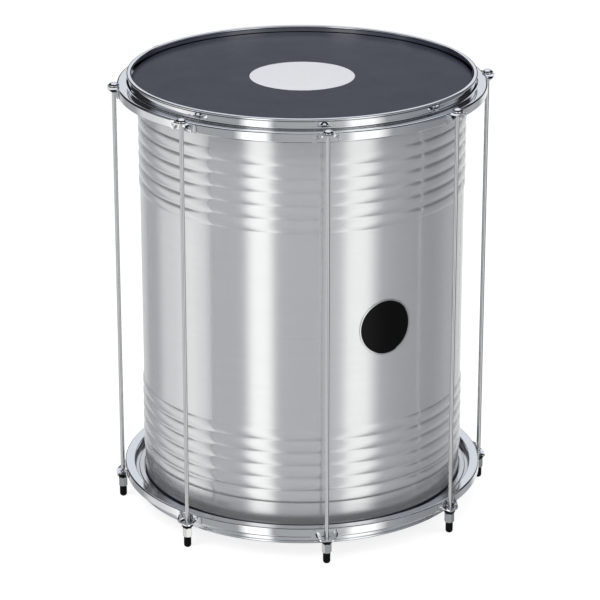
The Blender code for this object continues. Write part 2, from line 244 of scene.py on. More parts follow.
def turned(name, profile, sides, centre=(0, 0)):
    """A round piece: a ring of edges extruded along a profile of (radius, height) points.

    A profile that starts or ends on the axis is closed there, and any other is closed on itself."""
    start_clean()
    on_axis = profile[0][0] == 0
    first = profile[1] if on_axis else profile[0]
    bpy.ops.mesh.primitive_circle_add(vertices=sides, radius=first[0], location=(*centre, first[1]))
    piece = bpy.context.object
    piece.name = name
    piece.data.name = name
    settle(piece)
    bpy.ops.object.mode_set(mode='EDIT')
    if on_axis:
        bpy.ops.mesh.select_all(action='SELECT')
        extrude_ring(first, profile[0], centre)
        select_ring(piece, sides)
        rest = profile[1:]
    else:
        bpy.ops.mesh.select_all(action='SELECT')
        rest = list(profile) + [profile[0]]
    for old, new in zip(rest, rest[1:]):
        extrude_ring(old, new, centre)
    bpy.ops.mesh.select_all(action='SELECT')
    bpy.ops.mesh.remove_doubles(threshold=1e-6)
    bpy.ops.mesh.normals_make_consistent(inside=False)
    bpy.ops.object.mode_set(mode='OBJECT')
    return piece


def arc(centre, radius, start, end, steps):
    """Points on a round corner, from one angle in degrees to another, first and last included."""
    points = []
    for step in range(steps + 1):
        angle = radians(start + (end - start) * step / steps)
        points.append((centre[0] + radius * cos(angle), centre[1] + radius * sin(angle)))
    return points


def at_depths(end, profile):
    """Turn (radius, depth) points of the top end, +1, or the bottom end, -1, into heights."""
    rim = TOP_RIM if end > 0 else BOTTOM_RIM
    return [(radius, rim - end * depth) for radius, depth in profile]


def smooth_by_angle(piece, degrees=30):
    """Smooth shading with sharp edges kept, and with flat faces left flat beside a rounding."""
    make_active(piece)
    bpy.ops.object.shade_smooth_by_angle(angle=radians(degrees))
    flats = piece.modifiers.new("flats", 'WEIGHTED_NORMAL')
    flats.keep_sharp = True
    apply_modifiers(piece)


def finish_piece(piece, body, material, slot, *nodes):
    """Give a piece its finish, its body and the CAD nodes that it stands for."""
    if material is not None:
        piece.data.materials.clear()
        piece.data.materials.append(material)
    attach(piece, body)
    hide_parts(*nodes)


def rod_place(number):
    """Moves a shape modelled on the Z axis, outwards being -Y, to the axis of one rod."""
    angle = (2 * number - 1) * HALF_STEP
    return Matrix.Rotation(angle, 4, 'Z') @ Matrix.Translation((0, -ROD_CIRCLE, 0))


def copy_to(master, name, place):
    """A copy with a mesh of its own, its place in its mesh."""
    twin = master.copy()
    twin.data = master.data.copy()
    twin.name = name
    twin.data.name = name
    bpy.context.scene.collection.objects.link(twin)
    twin.data.transform(place)
    return twin


def remove(piece):
    bpy.data.objects.remove(piece, do_unlink=True)


# Materials
def add_node(tree, kind, inputs=(), **settings):
    """Adds a node. Settings are its properties, and inputs are values or sockets to link."""
    node = tree.nodes.new(kind)
    for key, value in settings.items():
        setattr(node, key, value)
    for key, value in dict(inputs).items():
        if isinstance(value, bpy.types.NodeSocket):
            tree.links.new(value, node.inputs[key])
        else:
            node.inputs[key].default_value = value
    return node


def new_material(name, **sockets):
    """A Principled material with constants on its sockets, given by name with underscores."""
    material = bpy.data.materials.new(name)
    material.use_nodes = True
    shader = material.node_tree.nodes["Principled BSDF"]
    for key, value in sockets.items():
        label = key.replace("_", " ").title().replace("Ior", "IOR")
        shader.inputs[label].default_value = value
    return material, material.node_tree, shader


def object_streaks(tree, across, along, detail=3.0):
    """Noise drawn out round the drum: streaks repeat every `across` metres up the drum."""
    coords = add_node(tree, 'ShaderNodeTexCoord')
    stretch = add_node(tree, 'ShaderNodeMapping', {
        "Vector": coords.outputs["Object"], "Scale": (1 / along, 1 / along, 1 / across)})
    return add_node(tree, 'ShaderNodeTexNoise', {
        "Vector": stretch.outputs["Vector"], "Scale": 1.0, "Detail": detail, "Roughness": 0.6})


def remap(tree, value, low, high):
    """Spreads a 0 to 1 value over a new range."""
    node = add_node(tree, 'ShaderNodeMapRange', {"Value": value, "To Min": low, "To Max": high})
    return node.outputs["Result"]


def brushed_aluminium(colour):
    """Aluminium sheet, brushed round the drum: reflections stay sharp sideways and smear up and down.

    The clear oxide layer over the brushing scatters some of the light, so it isn't all mirrored."""
    material, tree, shader = new_material(
        "brushed_aluminium", Metallic=0.75, Anisotropic=0.7, Anisotropic_Rotation=0.25)
    tangent = add_node(tree, 'ShaderNodeTangent', direction_type='RADIAL', axis='Z')
    tree.links.new(tangent.outputs["Tangent"], shader.inputs["Tangent"])
    # The real brush lines are 0.1 mm apart, and are drawn 1.2 mm apart so that they show
    lines = object_streaks(tree, 1.2 * MM, 90 * MM)
    clouds = object_streaks(tree, 30 * MM, 150 * MM)
    dark = tuple(part * 0.86 for part in colour)
    tone = add_node(tree, 'ShaderNodeMix', {"Factor": remap(tree, lines.outputs["Fac"], 0.15, 0.95)},
                    data_type='RGBA')
    tone.inputs["A"].default_value = (*dark, 1)
    tone.inputs["B"].default_value = (*colour, 1)
    tree.links.new(tone.outputs["Result"], shader.inputs["Base Color"])
    tree.links.new(remap(tree, clouds.outputs["Fac"], 0.185, 0.245), shader.inputs["Roughness"])
    bump = add_node(tree, 'ShaderNodeBump', {
        "Height": lines.outputs["Fac"], "Strength": 0.08, "Distance": 0.2 * MM})
    tree.links.new(bump.outputs["Normal"], shader.inputs["Normal"])
    return material


def chrome_plate(colour):
    """Polished chrome over roll-formed steel: near mirror, with faint rolling lines and haze."""
    material, tree, shader = new_material("chrome_plate", Metallic=1.0, Base_Color=(*colour, 1))
    haze = object_streaks(tree, 4 * MM, 60 * MM)
    tree.links.new(remap(tree, haze.outputs["Fac"], 0.02, 0.06), shader.inputs["Roughness"])
    coords = add_node(tree, 'ShaderNodeTexCoord')
    waves = add_node(tree, 'ShaderNodeTexNoise', {
        "Vector": coords.outputs["Object"], "Scale": 1 / (38 * MM), "Detail": 1.0})
    bump = add_node(tree, 'ShaderNodeBump', {
        "Height": waves.outputs["Fac"], "Strength": 0.25, "Distance": 0.35 * MM})
    tree.links.new(bump.outputs["Normal"], shader.inputs["Normal"])
    return material


def satin_nickel(colour):
    """The dull nickel left where the chrome bath hardly reaches, inside the hoops' channel."""
    material, tree, shader = new_material("satin_nickel", Metallic=0.2, Base_Color=(*colour, 1))
    cloud = object_streaks(tree, 12 * MM, 60 * MM)
    tree.links.new(remap(tree, cloud.outputs["Fac"], 0.38, 0.5), shader.inputs["Roughness"])
    return material


def plated_steel(colour):
    """Bright plated steel: drawn rod and turned nuts, a little softer than chrome."""
    material, tree, shader = new_material("plated_steel", Metallic=1.0, Base_Color=(*colour, 1))
    marks = object_streaks(tree, 5 * MM, 20 * MM)
    tree.links.new(remap(tree, marks.outputs["Fac"], 0.07, 0.15), shader.inputs["Roughness"])
    bump = add_node(tree, 'ShaderNodeBump', {
        "Height": marks.outputs["Fac"], "Strength": 0.06, "Distance": 0.1 * MM})
    tree.links.new(bump.outputs["Normal"], shader.inputs["Normal"])
    return material


def grained_film(name, colour, roughness, unevenness):
    """Polyester film with a fine leather-like grain, which gives it a soft, greyish sheen."""
    material, tree, shader = new_material(name, Specular_IOR_Level=0.36)
    coords = add_node(tree, 'ShaderNodeTexCoord')
    # The coating is a little uneven, in specks of 3 mm
    specks = add_node(tree, 'ShaderNodeTexNoise', {
        "Vector": coords.outputs["Object"], "Scale": 1 / (3 * MM), "Detail": 2.0})
    tone = add_node(tree, 'ShaderNodeMix', {"Factor": remap(tree, specks.outputs["Fac"], -0.5, 1.5)},
                    data_type='RGBA')
    tone.inputs["A"].default_value = (*(part * (1 - unevenness) for part in colour), 1)
    tone.inputs["B"].default_value = (*(part * (1 + unevenness) for part in colour), 1)
    tree.links.new(tone.outputs["Result"], shader.inputs["Base Color"])
    # The grain's cells are 0.8 mm across, and are drawn 2 mm across so that they show
    cells = add_node(tree, 'ShaderNodeTexVoronoi', {
        "Vector": coords.outputs["Object"], "Scale": 1 / (2 * MM)}, feature='SMOOTH_F1')
    smears = add_node(tree, 'ShaderNodeTexNoise', {
        "Vector": coords.outputs["Object"], "Scale": 1 / (70 * MM), "Detail": 4.0})
    tree.links.new(remap(tree, smears.outputs["Fac"], roughness - 0.07, roughness + 0.07),
                   shader.inputs["Roughness"])
    bump = add_node(tree, 'ShaderNodeBump', {
        "Height": cells.outputs["Distance"], "Strength": 0.8, "Distance": 0.3 * MM})
    tree.links.new(bump.outputs["Normal"], shader.inputs["Normal"])
    return material


def moulded_black(name, colour, roughness, grain):
    """Moulded rubber or nylon: dark, with a fine mould texture that breaks up its highlights."""
    material, tree, shader = new_material(name, Base_Color=(*colour, 1), Specular_IOR_Level=0.12)
    coords = add_node(tree, 'ShaderNodeTexCoord')
    speckle = add_node(tree, 'ShaderNodeTexNoise', {
        "Vector": coords.outputs["Object"], "Scale": 1 / grain, "Detail": 3.0})
    tree.links.new(remap(tree, speckle.outputs["Fac"], roughness - 0.08, roughness + 0.08),
                   shader.inputs["Roughness"])
    bump = add_node(tree, 'ShaderNodeBump', {
        "Height": speckle.outputs["Fac"], "Strength": 0.2, "Distance": 0.1 * MM})
    tree.links.new(bump.outputs["Normal"], shader.inputs["Normal"])
    return material


def finish_of(name, make, *values):
    """The material of that name, made once and shared by the pieces that have the finish."""
    return bpy.data.materials.get(name) or make(*values)


# Operators
def ridge_points(settings, radius):
    """The ridges at one end, as (radius, depth): rounded crests that meet in narrow grooves."""
    steps = 14
    points = []
    for index in range(settings.ridge_count):
        middle = settings.first_ridge + index * settings.ridge_pitch
        for step in range(steps):
            share = 2 * (step + 0.5) / steps - 1
            rise = settings.ridge_height * (1 - abs(share) ** 2.2)
            points.append((radius + rise, middle + share * settings.ridge_width / 2))
    return points


class SURDO_OT_shell(bpy.types.Operator):
    """Turn the ridged aluminium shell"""
    bl_idname = "surdo.shell"
    bl_label = "Shell"

    def execute(self, context):
        settings = context.scene.surdo_shell
        radius = RIDGE_CREST - settings.ridge_height
        inner = radius - settings.wall
        end = TOP_RIM - SHELL_TOP
        edge = [(inner, end), (radius - 0.4 * MM, end), (radius, end + 0.4 * MM), (radius, end + 1.4 * MM)]
        top = at_depths(1, edge + ridge_points(settings, radius))
        bottom = at_depths(-1, edge + ridge_points(settings, radius))
        piece = turned("shell_sheet", top + bottom[::-1], 256)
        smooth_by_angle(piece, 40)
        finish = finish_of("brushed_aluminium", brushed_aluminium, settings.colour)
        finish_piece(piece, "drum", finish, "shell", "shell")
        return {'FINISHED'}


class SURDO_OT_badge(bpy.types.Operator):
    """Model the plain round badge and roll it to the shell's radius"""
    bl_idname = "surdo.badge"
    bl_label = "Badge"

    def execute(self, context):
        settings = context.scene.surdo_badge
        middle = box_middle("badge")
        radius = (BADGE_HIGH[2] - BADGE_LOW[2]) / 2
        thick = 1.0 * MM
        back = -BADGE_LOW[1] - thick
        step = 0.25 * MM
        rings = [(radius * share, thick - step) for share in (0.2, 0.4, 0.6, 0.8)]
        field_edge = radius - settings.border
        profile = [(0, thick - step)] + rings + [
            (field_edge - 0.3 * MM, thick - step), (field_edge, thick), (radius - 0.3 * MM, thick),
            (radius, thick - 0.3 * MM), (radius, 0)]
        profile += [(radius * share, 0) for share in (0.8, 0.6, 0.4, 0.2)] + [(0, 0)]
        piece = turned("badge_plate", profile, 96)
        field = moulded_black("badge_enamel", settings.field_colour, 0.22, 6 * MM)
        border = finish_of("plated_steel", plated_steel, context.scene.surdo_hardware.plated_colour)
        piece.data.materials.append(field)
        piece.data.materials.append(border)
        for face in piece.data.polygons:
            reach = hypot(face.center.x, face.center.y)
            on_border = reach > field_edge - 0.3 * MM or face.center.z < step
            face.material_index = 1 if on_border else 0
        for vert in piece.data.vertices:
            angle = vert.co.x / back
            outwards = back + vert.co.z
            vert.co = (outwards * sin(angle), -outwards * cos(angle), middle.z + vert.co.y)
        smooth_by_angle(piece)
        finish_piece(piece, "drum", None, "badge", "badge")
        return {'FINISHED'}


class SURDO_OT_heads(bpy.types.Operator):
    """Turn the two film heads, the upper one with its plain printed disc"""
    bl_idname = "surdo.heads"
    bl_label = "Heads"

    def execute(self, context):
        settings = context.scene.surdo_head
        film = finish_of("black_film", grained_film, "black_film", settings.film_colour, 0.42, 0.3)
        ink = finish_of("printed_disc", grained_film, "printed_disc", settings.print_colour, 0.5, 0.03)
        shell_radius = RIDGE_CREST - context.scene.surdo_shell.ridge_height
        disc = settings.print_diameter / 2
        under = HEAD_DEPTH + settings.film
        collar_in = shell_radius + 0.3 * MM
        collar_out = collar_in + 0.8 * MM
        for name, end in (("top", 1), ("bottom", -1)):
            profile = [(0, HEAD_DEPTH), (disc / 2, HEAD_DEPTH), (disc, HEAD_DEPTH), (150 * MM, HEAD_DEPTH),
                       (shell_radius - 2 * MM, HEAD_DEPTH), (FLESH_OUTER - 0.6 * MM, HEAD_DEPTH),
                       (FLESH_OUTER, HEAD_DEPTH + 0.4 * MM), (FLESH_OUTER, under), (collar_out, under),
                       (collar_out, under + settings.collar), (collar_in, under + settings.collar),
                       (collar_in, under), (0, under)]
            piece = turned(f"{name}_film", at_depths(end, profile), 256)
            piece.data.materials.append(film)
            piece.data.materials.append(ink)
            for face in piece.data.polygons:
                printed = end > 0 and hypot(*face.center.xy) < disc and face.normal.z > 0.5
                face.material_index = 1 if printed else 0
            smooth_by_angle(piece)
            finish_piece(piece, "drum", None, "head_film", f"{name}_head")
        return {'FINISHED'}


class SURDO_OT_flesh_hoops(bpy.types.Operator):
    """Turn the two flesh hoops that carry the heads"""
    bl_idname = "surdo.flesh_hoops"
    bl_label = "Flesh hoops"

    def execute(self, context):
        plated = finish_of("plated_steel", plated_steel, context.scene.surdo_hardware.plated_colour)
        shell_radius = RIDGE_CREST - context.scene.surdo_shell.ridge_height
        inner = shell_radius + 1.4 * MM
        hoop = context.scene.surdo_hoop
        foot = hoop.flange_depth + hoop.sheet + 0.3 * MM
        start = HEAD_DEPTH + context.scene.surdo_head.film + 0.3 * MM
        round_off = 0.4 * MM
        for name, end in (("top", 1), ("bottom", -1)):
            crest = foot + 2.2 * MM
            ledge = foot + 0.9 * MM
            profile = [(inner, start), (FLESH_OUTER - round_off, start), (FLESH_OUTER, start + round_off),
                       (FLESH_OUTER, foot), (FLESH_FOOT - round_off, foot), (FLESH_FOOT, foot + round_off),
                       (FLESH_FOOT, ledge), (FLESH_OUTER + round_off, ledge), (FLESH_OUTER, ledge + round_off)]
            profile += arc((FLESH_OUTER - 0.7 * MM, crest - 0.7 * MM), 0.7 * MM, 0, 90, 4)
            profile += arc((inner + 1.6 * MM, crest - 0.7 * MM), 0.7 * MM, 90, 180, 4)
            profile += [(inner + 0.9 * MM, foot), (inner, foot)]
            piece = turned(f"{name}_flesh_ring", at_depths(end, profile), 192)
            smooth_by_angle(piece)
            finish_piece(piece, "drum", plated, "flesh_hoop", f"{name}_flesh_hoop")
        return {'FINISHED'}


def hoop_section(settings):
    """The roll-formed section as (radius, depth): bead, wall, fillet, flange, corner, skirt, hem and lip."""
    sheet = settings.sheet
    wall_out = SKIRT_OUTER - settings.flange_width
    wall_in = wall_out - sheet
    flange = settings.flange_depth
    bead = settings.bead_height / 2
    bead_out = wall_out + 0.2 * MM
    bead_in = wall_in - 2.5 * MM + bead
    fillet = 3.4 * MM
    corner = 3.0 * MM
    end = settings.skirt_end
    hem = 2.2 * MM
    lip_top = end - 0.3 * MM
    lip = SKIRT_OUTER - settings.lip_width
    dish = 0.6 * MM
    points = arc((bead_out, bead), bead, -90, 77, 12)
    points += arc((wall_out + 0.8 * MM, 4.73 * MM), 0.8 * MM, 257, 180, 5)
    points += arc((wall_out + fillet, flange - fillet), fillet, 180, 90, 8)
    points += arc((SKIRT_OUTER - corner, flange + corner), corner, -90, 0, 9)
    points += arc((SKIRT_OUTER - hem, lip_top - hem), hem, 0, 90, 10)
    points += arc((lip + 1.2 * MM, lip_top - dish - 1.2 * MM), 1.2 * MM, 84, 180, 6)
    points += [(lip, end - 4.6 * MM), (lip + 0.3 * MM, end - 4.8 * MM), (lip + 0.9 * MM, end - 4.8 * MM)]
    points += [(lip + 1.2 * MM, end - 4.6 * MM), (lip + 1.8 * MM, lip_top - dish - sheet)]
    points += [(SKIRT_OUTER - sheet - 0.5 * MM, lip_top - sheet), (SKIRT_OUTER - sheet, lip_top - sheet - 0.5 * MM)]
    points += arc((SKIRT_OUTER - corner, flange + corner), corner - sheet, 0, -90, 4)
    points += [(wall_in, flange + sheet), (wall_in, settings.bead_height)]
    points += arc((bead_in, bead), bead, 90, 270, 9)
    return points


class SURDO_OT_counterhoops(bpy.types.Operator):
    """Turn the two chromed counterhoops from their rolled section"""
    bl_idname = "surdo.counterhoops"
    bl_label = "Counterhoops"

    def execute(self, context):
        settings = context.scene.surdo_hoop
        chrome = finish_of("chrome_plate", chrome_plate, settings.colour)
        nickel = finish_of("satin_nickel", satin_nickel, settings.inside_colour)
        for name, end, rim in (("top", 1, TOP_RIM), ("bottom", -1, BOTTOM_RIM)):
            piece = turned(f"{name}_counterhoop", at_depths(end, hoop_section(settings)), 256)
            piece.data.materials.append(chrome)
            piece.data.materials.append(nickel)
            for face in piece.data.polygons:
                reach = hypot(face.center.x, face.center.y)
                depth = abs(rim - face.center.z)
                on_lip_end = abs(reach - SKIRT_OUTER + settings.lip_width - 0.6 * MM) < 0.7 * MM
                between = settings.flange_depth + 1 * MM < depth < settings.skirt_end - 1.5 * MM
                if between and reach < SKIRT_OUTER - 1 * MM and not on_lip_end:
                    face.material_index = 1
            smooth_by_angle(piece, 35)
            finish_piece(piece, "drum", None, "hoop_chrome", f"{name}_hoop")
        return {'FINISHED'}


class SURDO_OT_rods(bpy.types.Operator):
    """Turn the tension rods with their domed heads"""
    bl_idname = "surdo.rods"
    bl_label = "Tension rods"

    def execute(self, context):
        settings = context.scene.surdo_hardware
        plated = finish_of("plated_steel", plated_steel, settings.plated_colour)
        low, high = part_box("rod_1")
        radius = settings.rod_diameter / 2
        head = (high[0] - low[0]) / 2
        top = high[2]
        base = top - 5 * MM
        end = low[2]
        dome = 9.8 * MM
        profile = [(0, top)] + arc((0, top - dome), dome, 86, 39, 12)
        profile += arc((head - 0.3 * MM, base + 0.9 * MM), 0.3 * MM, 30, 0, 2)
        profile += [(head, base + 0.3 * MM), (head - 0.3 * MM, base), (radius + 0.2 * MM, base),
                    (radius, base - 0.3 * MM), (radius, end + 0.8 * MM), (radius - 0.8 * MM, end), (0, end)]
        master = turned("rod_master", profile, 40)
        smooth_by_angle(master)
        # The heads are polished after plating, and mirror like the hoops
        master.data.materials.append(plated)
        master.data.materials.append(finish_of("chrome_plate", chrome_plate, context.scene.surdo_hoop.colour))
        for face in master.data.polygons:
            face.material_index = 1 if face.center.z > base else 0
        for number in range(1, ROD_COUNT + 1):
            piece = copy_to(master, f"tension_rod_{number}", rod_place(number))
            finish_piece(piece, "drum", None, "rod_plated", f"rod_{number}")
        remove(master)
        return {'FINISHED'}


def select_edges(piece, chosen):
    """In edit mode, select only the edges whose two ends both pass a test on their place."""
    mesh = bmesh.from_edit_mesh(piece.data)
    bpy.ops.mesh.select_all(action='DESELECT')
    bpy.ops.mesh.select_mode(type='EDGE')
    for edge in mesh.edges:
        edge.select = all(chosen(vert.co) for vert in edge.verts)
    bmesh.update_edit_mesh(piece.data)


CLAW_GAP = 0.35 * MM
CLAW_TIP = 3.2 * MM
TINY = 1e-5


def claw_strap(settings):
    """The strap about the rod's axis, outwards being -Y, with the top of its seat at height 0.

    The seat's two sides are extruded down a round bend, and their front edge draws back to the skirt."""
    back = -(SKIRT_OUTER + CLAW_GAP - ROD_CIRCLE)
    front = -9.0 * MM
    half_seat = 5.2 * MM
    bend = 11 * MM
    start_clean()
    bpy.ops.mesh.primitive_plane_add(size=2, location=(0, (back + front) / 2, 0))
    strap = bpy.context.object
    strap.scale = (half_seat, (back - front) / 2, 1)
    settle(strap)
    side_line = [(half_seat + bend * sin(radians(angle)), bend * (cos(radians(angle)) - 1))
                 for angle in range(0, 79, 6)]
    side_line.append((side_line[-1][0] + 0.5 * MM, -12.2 * MM))
    draw_back = back - CLAW_TIP - front
    for side in (-1, 1):
        bpy.ops.object.mode_set(mode='EDIT')
        select_edges(strap, lambda co: abs(co.x - side * half_seat) < TINY)
        for (old_x, old_z), (new_x, new_z) in zip(side_line, side_line[1:]):
            bpy.ops.mesh.extrude_edges_move(
                TRANSFORM_OT_translate={"value": (side * (new_x - old_x), 0, new_z - old_z)})
        bpy.ops.object.mode_set(mode='OBJECT')
    for vert in strap.data.vertices:
        if vert.co.y < (back + front) / 2:
            vert.co.y += draw_back * min(1, vert.co.z / side_line[-2][1]) ** 1.1
    return strap


def make_claw(settings):
    """The strap, thickened and rounded, with its two feet, the rod's hole and the weld's dimple."""
    claw = claw_strap(settings)
    wall = claw.modifiers.new("sheet", 'SOLIDIFY')
    wall.thickness = settings.claw_sheet
    wall.offset = -1
    wall.use_even_offset = True
    apply_modifiers(claw)
    feet = [claw_foot(side, settings.claw_sheet) for side in (-1, 1)]
    start_clean()
    bpy.ops.mesh.primitive_cylinder_add(vertices=40, radius=3.5 * MM, depth=20 * MM)
    hole = bpy.context.object
    skirt_face = -(SKIRT_OUTER + CLAW_GAP - ROD_CIRCLE) - settings.claw_sheet
    bpy.ops.mesh.primitive_uv_sphere_add(
        segments=20, ring_count=12, radius=1.4 * MM, location=(-18.6 * MM, skirt_face, -6.6 * MM))
    dimple = bpy.context.object
    for foot in feet:
        join_by(claw, 'UNION', foot)
    join_by(claw, 'DIFFERENCE', hole)
    join_by(claw, 'DIFFERENCE', dimple)
    round_off = claw.modifiers.new("edges", 'BEVEL')
    round_off.width = 0.35 * MM
    round_off.segments = 2
    round_off.limit_method = 'ANGLE'
    round_off.angle_limit = radians(40)
    apply_modifiers(claw)
    for helper in (hole, dimple, *feet):
        remove(helper)
    smooth_by_angle(claw, 40)
    return claw


def join_by(piece, operation, other):
    modifier = piece.modifiers.new(other.name, 'BOOLEAN')
    modifier.operation = operation
    modifier.solver = 'EXACT'
    modifier.object = other
    apply_modifiers(piece)


def claw_foot(side, sheet):
    """A plate with its outer corners rounded, bent to the skirt's curve."""
    inner = 14.6 * MM
    outer = 21.7 * MM
    height = 12.2 * MM
    middle = (inner + outer) / 2
    start_clean()
    bpy.ops.mesh.primitive_cube_add(size=1, location=(side * middle, -sheet / 2, -7.4 * MM))
    foot = bpy.context.object
    foot.scale = (outer - inner, sheet, height)
    settle(foot)
    rounding = foot.modifiers.new("corners", 'BEVEL')
    rounding.width = 3.0 * MM
    rounding.segments = 6
    rounding.limit_method = 'WEIGHT'
    weights = foot.data.attributes.new("bevel_weight_edge", 'FLOAT', 'EDGE')
    for edge in foot.data.edges:
        start, end = (foot.data.vertices[index].co for index in edge.vertices)
        across = abs(start.y - end.y) > sheet * 0.8
        at_outer = side * (start.x + end.x) / 2 > middle
        weights.data[edge.index].value = 1.0 if across and at_outer else 0.0
    apply_modifiers(foot)
    bpy.ops.object.mode_set(mode='EDIT')
    for step in range(1, 6):
        bpy.ops.mesh.select_all(action='SELECT')
        across = side * (inner + (outer - inner) * step / 6)
        bpy.ops.mesh.bisect(plane_co=(across, 0, 0), plane_no=(1, 0, 0))
    bpy.ops.object.mode_set(mode='OBJECT')
    for vert in foot.data.vertices:
        reach = SKIRT_OUTER + CLAW_GAP - vert.co.y
        angle = vert.co.x / SKIRT_OUTER
        vert.co = (reach * sin(angle), ROD_CIRCLE - reach * cos(angle), vert.co.z)
    return foot


class SURDO_OT_claws(bpy.types.Operator):
    """Fold one claw from sheet and set a copy over and under every rod"""
    bl_idname = "surdo.claws"
    bl_label = "Claws"

    def execute(self, context):
        settings = context.scene.surdo_hardware
        chrome = finish_of("chrome_plate", chrome_plate, context.scene.surdo_hoop.colour)
        master = make_claw(settings)
        seat_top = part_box("top_claw_1")[1][2]
        seat_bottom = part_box("bottom_claw_1")[0][2]
        for number in range(1, ROD_COUNT + 1):
            upper = rod_place(number) @ Matrix.Translation((0, 0, seat_top))
            lower = rod_place(number) @ Matrix.Translation((0, 0, seat_bottom)) @ Matrix.Rotation(pi, 4, 'Y')
            for end, place in (("top", upper), ("bottom", lower)):
                piece = copy_to(master, f"{end}_claw_strap_{number}", place)
                finish_piece(piece, "drum", chrome, "claw_chrome", f"{end}_claw_{number}")
        remove(master)
        return {'FINISHED'}


class SURDO_OT_washers(bpy.types.Operator):
    """Turn the black collar washers"""
    bl_idname = "surdo.washers"
    bl_label = "Collar washers"

    def execute(self, context):
        settings = context.scene.surdo_hardware
        nylon = finish_of("black_nylon", moulded_black, "black_nylon", settings.black_colour, 0.4, 1.5 * MM)
        low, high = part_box("washer_1")
        outer = 8.15 * MM
        bore = settings.rod_diameter / 2 + 0.4 * MM
        top = high[2]
        bottom = low[2]
        profile = [(bore, top), (outer - 0.4 * MM, top), (outer, top - 0.4 * MM), (outer, top - 1.8 * MM)]
        profile += arc((outer - 1.6 * MM, top - 2.2 * MM), 1.6 * MM, 0, -55, 4)
        profile += [(6.4 * MM, bottom + 0.3 * MM), (6.2 * MM, bottom), (bore, bottom)]
        master = turned("washer_master", profile, 40)
        smooth_by_angle(master)
        for number in range(1, ROD_COUNT + 1):
            piece = copy_to(master, f"collar_washer_{number}", rod_place(number))
            finish_piece(piece, f"washer_body_{number}", nylon, "washer_nylon", f"washer_{number}")
        remove(master)
        return {'FINISHED'}


class SURDO_OT_nuts(bpy.types.Operator):
    """Model the long hexagon nuts, chamfered at both ends"""
    bl_idname = "surdo.nuts"
    bl_label = "Hexagon nuts"

    def execute(self, context):
        settings = context.scene.surdo_hardware
        plated = finish_of("plated_steel", plated_steel, settings.plated_colour)
        low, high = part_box("nut_1")
        bottom = low[2]
        top = high[2]
        flat = settings.nut_flats / 2
        corner = flat / cos(pi / 6)
        bore = settings.rod_diameter / 2 + 0.4 * MM
        start_clean()
        bpy.ops.mesh.primitive_cylinder_add(
            vertices=6, radius=corner, depth=top - bottom, location=(0, 0, (top + bottom) / 2))
        master = bpy.context.object
        master.rotation_euler = (0, 0, pi / 6)
        settle(master)
        rounded = turned("nut_chamfer", [
            (bore, top), (flat * 0.93, top), (corner + 0.2 * MM, top - 1.1 * MM),
            (corner + 0.2 * MM, bottom + 2.0 * MM), (5.2 * MM, bottom), (bore, bottom)], 48)
        join_by(master, 'INTERSECT', rounded)
        remove(rounded)
        edges = master.modifiers.new("edges", 'BEVEL')
        edges.width = 0.2 * MM
        edges.segments = 2
        edges.limit_method = 'ANGLE'
        edges.angle_limit = radians(25)
        apply_modifiers(master)
        smooth_by_angle(master, 20)
        for number in range(1, ROD_COUNT + 1):
            piece = copy_to(master, f"hexagon_nut_{number}", rod_place(number))
            finish_piece(piece, f"nut_body_{number}", plated, "nut_plated", f"nut_{number}")
        remove(master)
        return {'FINISHED'}


class SURDO_OT_feet(bpy.types.Operator):
    """Turn the black rubber feet"""
    bl_idname = "surdo.feet"
    bl_label = "Rubber feet"

    def execute(self, context):
        settings = context.scene.surdo_hardware
        rubber = finish_of("black_rubber", moulded_black, "black_rubber", settings.black_colour, 0.55, 1.2 * MM)
        low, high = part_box("foot_1")
        tip = low[2]
        top = high[2]
        radius = 5.2 * MM
        bore = settings.rod_diameter / 2 + 0.4 * MM
        floor = top - 9 * MM
        profile = [(0, floor), (bore, floor), (bore, top), (radius - 0.5 * MM, top), (radius, top - 0.5 * MM)]
        profile += arc((radius - 4.2 * MM, tip + 4.2 * MM), 4.2 * MM, 0, -62, 8)
        profile += [(2.0 * MM, tip), (0, tip)]
        master = turned("foot_master", profile, 40)
        smooth_by_angle(master)
        for number in range(1, ROD_COUNT + 1):
            piece = copy_to(master, f"rubber_foot_{number}", rod_place(number))
            finish_piece(piece, f"nut_body_{number}", rubber, "foot_rubber", f"foot_{number}")
        remove(master)
        return {'FINISHED'}


# Studio
# What the metal mirrors: level by angle in degrees, from -Y towards +X, in steps with soft edges
PANORAMA = (
    (-180, 0.58), (-172, 0.36), (-156, 0.38), (-146, 0.74), (-134, 0.76), (-125, 0.86), (-117, 1.04),
    (-106, 0.88), (-101, 0.78), (-97, 0.4), (-72, 0.39), (-65, 1.36), (-53, 1.3), (-48, 0.41), (-14, 0.44),
    (-3, 0.58), (3, 1.2), (17, 1.2), (27, 0.38), (45, 0.3), (76, 0.27), (88, 0.33), (98, 0.42),
    (112, 0.39), (122, 0.85), (150, 0.9), (180, 0.58))
# A second ring of panels hangs above the horizon, in steps like the first
UPPER_RING = (
    (-180, 0.03), (-150, 0.03), (-138, 0.4), (-80, 0.4), (-68, 0.05), (10, 0.05), (22, 0.4), (88, 0.4),
    (96, 0.03), (116, 0.03), (124, 0.85), (170, 0.85), (176, 0.03), (180, 0.03))
UPPER_RING_START = 12
UPPER_RING_END = 27
UPPER_TINT = (0.9, 0.93, 1.0)
CEILING_LEVEL = 0.015
# The walls of light below reach higher on the camera's side than behind the drum
CAMERA_SIDE = -30
WALL_TOP_FRONT = 45
WALL_TOP_BACK = -8
GROUND_LEVEL = 0.05
# A large softbox hangs over and behind the drum, as seen in the photograph's view
OVERHEAD_AZIMUTH = 150
OVERHEAD_ELEVATION = 62
OVERHEAD_HALF_ANGLE = 30
OVERHEAD_LEVEL = 0.95


def panel_colour(level):
    """Dim panels are a little cool and bright ones a little warm."""
    share = min(level, 1.0)
    return (level * (0.94 + 0.06 * share), level * (0.985 + 0.01 * share), level * (1.04 - 0.07 * share), 1)


